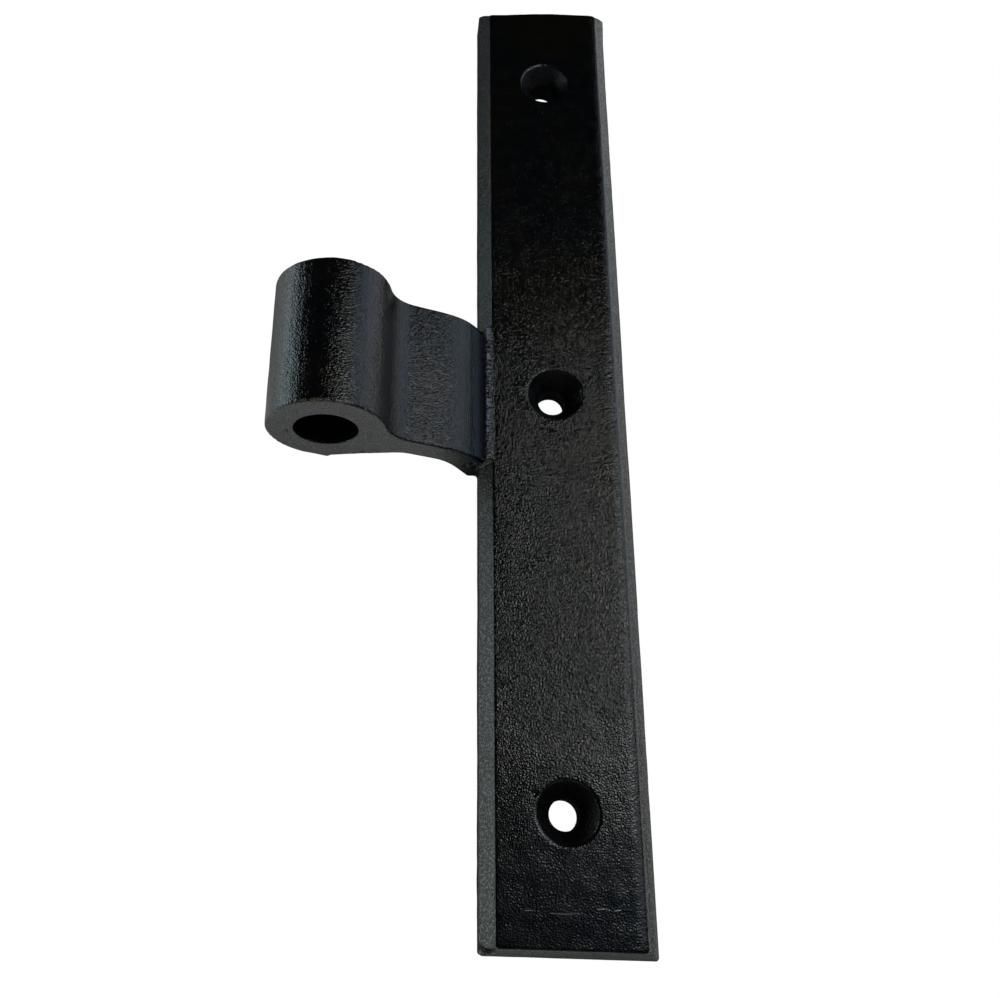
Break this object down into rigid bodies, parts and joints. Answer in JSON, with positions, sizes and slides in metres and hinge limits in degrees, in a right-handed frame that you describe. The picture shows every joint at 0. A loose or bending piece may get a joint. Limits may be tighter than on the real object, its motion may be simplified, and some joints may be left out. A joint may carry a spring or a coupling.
{
  "type": "shutter hinge leaf",
  "caption": "Cast shutter hinge leaf: a long bevelled plate with countersunk screw holes and a gooseneck arm that ends in an eye for an upright pin.",
  "frame": {"origin": "On the axis of the middle screw hole, at the back face of the plate.", "axes": "+Z out of the plate's front face, Y along the plate, and the eye on the -X side with its bore along Y."},
  "size_m": [0.0752, 0.22, 0.0323],
  "materials": {
    "black_iron": "satin black coat over a sand-cast skin"
  },
  "bodies": {
    "root": {"hinge_leaf": "black_iron"}
  },
  "joints": []
}
